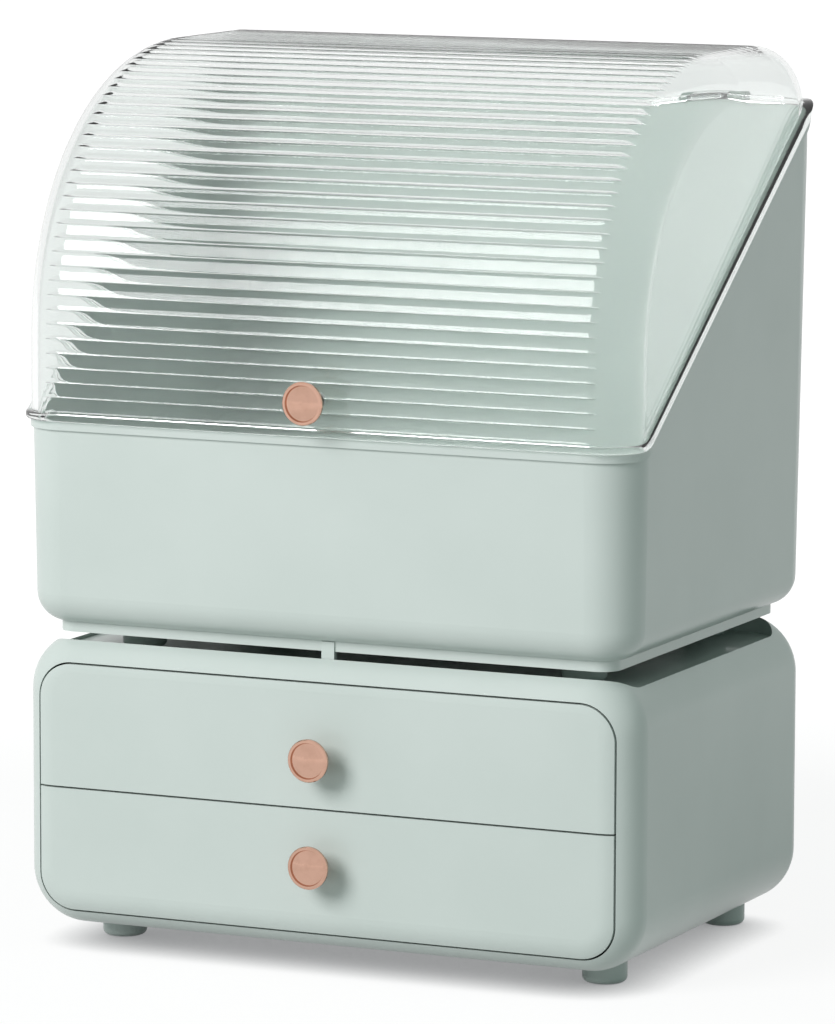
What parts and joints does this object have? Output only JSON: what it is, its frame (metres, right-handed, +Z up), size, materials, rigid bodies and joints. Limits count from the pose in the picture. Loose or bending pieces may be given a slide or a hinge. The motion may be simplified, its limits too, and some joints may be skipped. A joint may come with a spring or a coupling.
{
  "type": "make-up organizer",
  "caption": "Dustproof tabletop make-up organizer: a drawer unit with round knobs, an open bin standing in its top, and a clear reeded lid curved over the front and hinged at the back.",
  "frame": {"origin": "on the floor under the middle of the whole object with its lid closed", "axes": "+X to the right seen from the front, +Y to the back, +Z up"},
  "size_m": [0.2868, 0.2334, 0.3787],
  "materials": {
    "case": "glossy pale grey-green moulded plastic",
    "inner": "satin pale grey-green moulded plastic",
    "feet": "smooth moulded plastic",
    "clear_lid": "clear moulded plastic with a faint green tint",
    "rose_gold": "polished rose-gold plating",
    "steel": "plain zinc-plated steel"
  },
  "bodies": {
    "base": {"base_shell": "case", "back_panel": "inner", "drawer_shelf": "inner", "foot_front_left": "feet", "foot_front_right": "feet", "foot_back_left": "feet", "foot_back_right": "feet"},
    "upper_drawer": {"upper_drawer_tray": "inner", "upper_drawer_front": "case", "upper_drawer_knob": "rose_gold", "upper_drawer_knob_screw": "steel"},
    "lower_drawer": {"lower_drawer_tray": "inner", "lower_drawer_front": "case", "lower_drawer_knob": "rose_gold", "lower_drawer_knob_screw": "steel"},
    "bin_body": {"bin": "case", "bin_foot_front_left": "feet", "bin_foot_front_right": "feet", "bin_foot_back_left": "feet", "bin_foot_back_right": "feet", "hinge_pin_left": "steel", "hinge_pin_right": "steel"},
    "lid_body": {"lid": "clear_lid", "lid_knob": "rose_gold", "lid_knob_screw": "steel"}
  },
  "joints": [
    {"name": "upper_drawer_slide", "type": "slide", "parent": "base", "child": "upper_drawer", "axis": [0, -1, 0], "range_m": [0, 0.125]},
    {"name": "lower_drawer_slide", "type": "slide", "parent": "base", "child": "lower_drawer", "axis": [0, -1, 0], "range_m": [0, 0.125]},
    {"name": "bin_lift", "type": "slide", "parent": "base", "child": "bin_body", "axis": [0, 0, 1], "range_m": [0, 0.08]},
    {"name": "lid_hinge", "type": "hinge", "parent": "bin_body", "child": "lid_body", "pos_m": [0, 0.1122, 0.352], "axis": [-1, 0, 0], "range_deg": [0, 105]}
  ]
}
